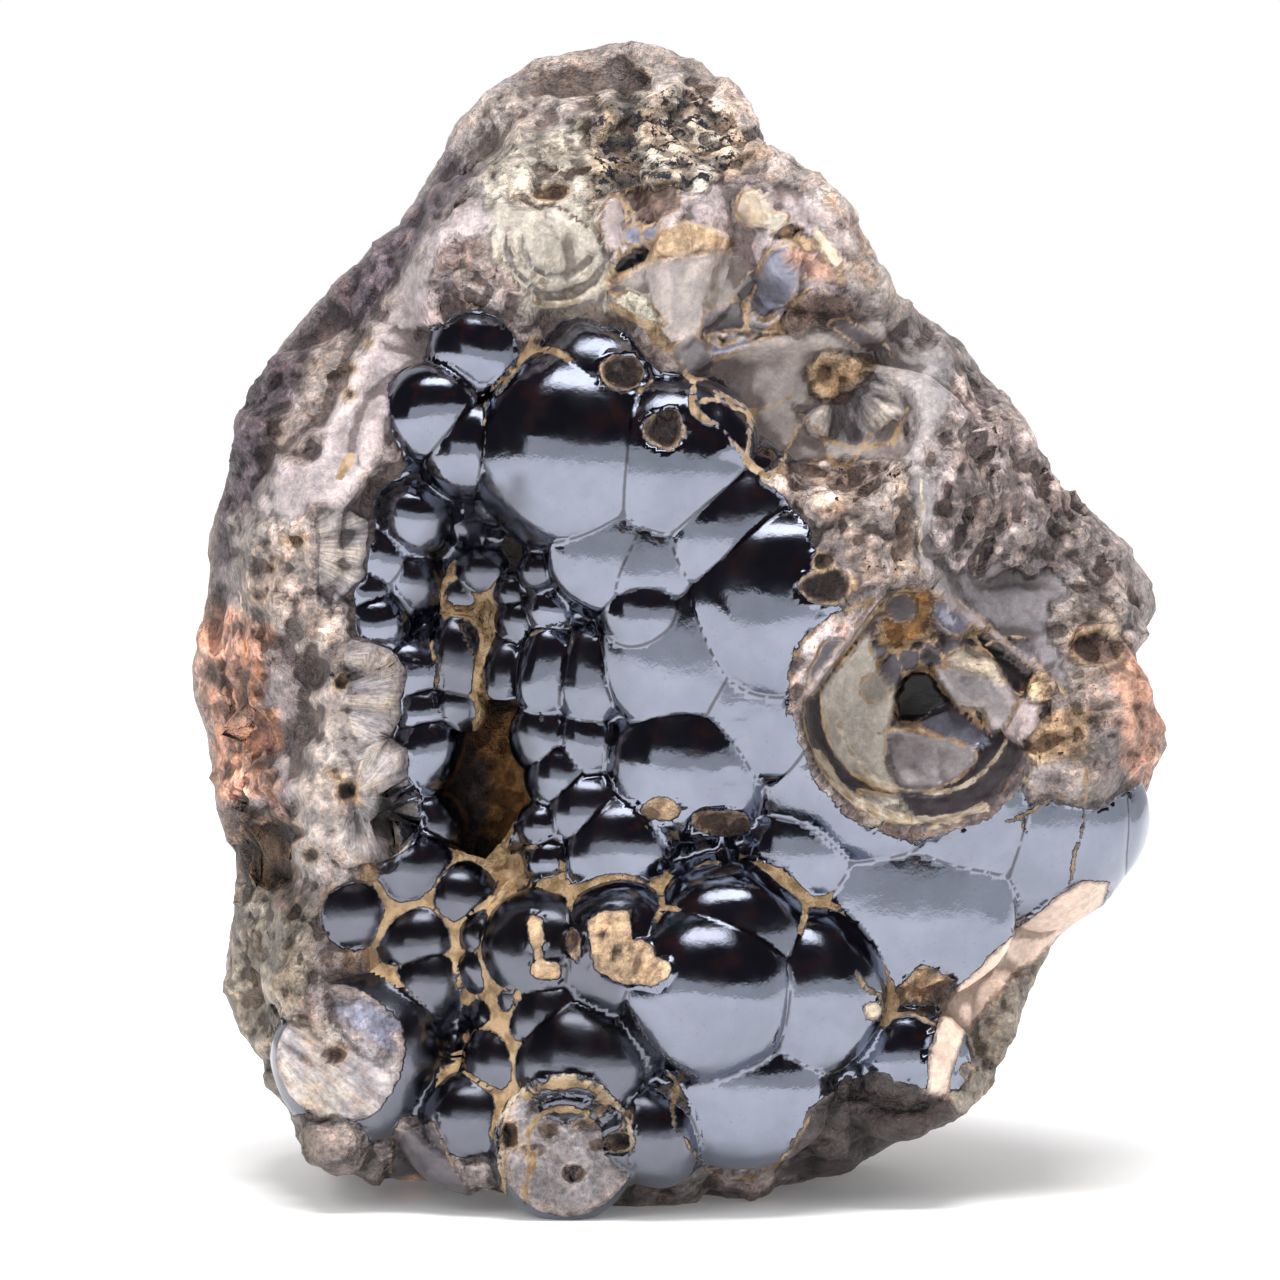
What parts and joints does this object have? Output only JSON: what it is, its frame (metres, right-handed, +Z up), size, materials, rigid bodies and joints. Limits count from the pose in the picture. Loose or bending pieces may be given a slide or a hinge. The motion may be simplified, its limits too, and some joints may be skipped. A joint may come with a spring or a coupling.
{
  "type": "botryoidal hematite specimen",
  "caption": "Free-standing broken piece of kidney ore: polished kidney lobes with tan seams on the front, rough matrix at the sides and back, and a flat resting foot.",
  "frame": {"origin": "on the resting face, under the middle of the piece's bounding box", "axes": "+Z up from the resting face, -Y towards the front with the polished lobes, +X to the right seen from the front"},
  "size_m": [0.0752, 0.0649, 0.0882],
  "materials": {
    "hematite": "sub-metallic polished lobes with tan seams, dull rough matrix elsewhere"
  },
  "bodies": {
    "root": {"hematite": "hematite"}
  },
  "joints": []
}
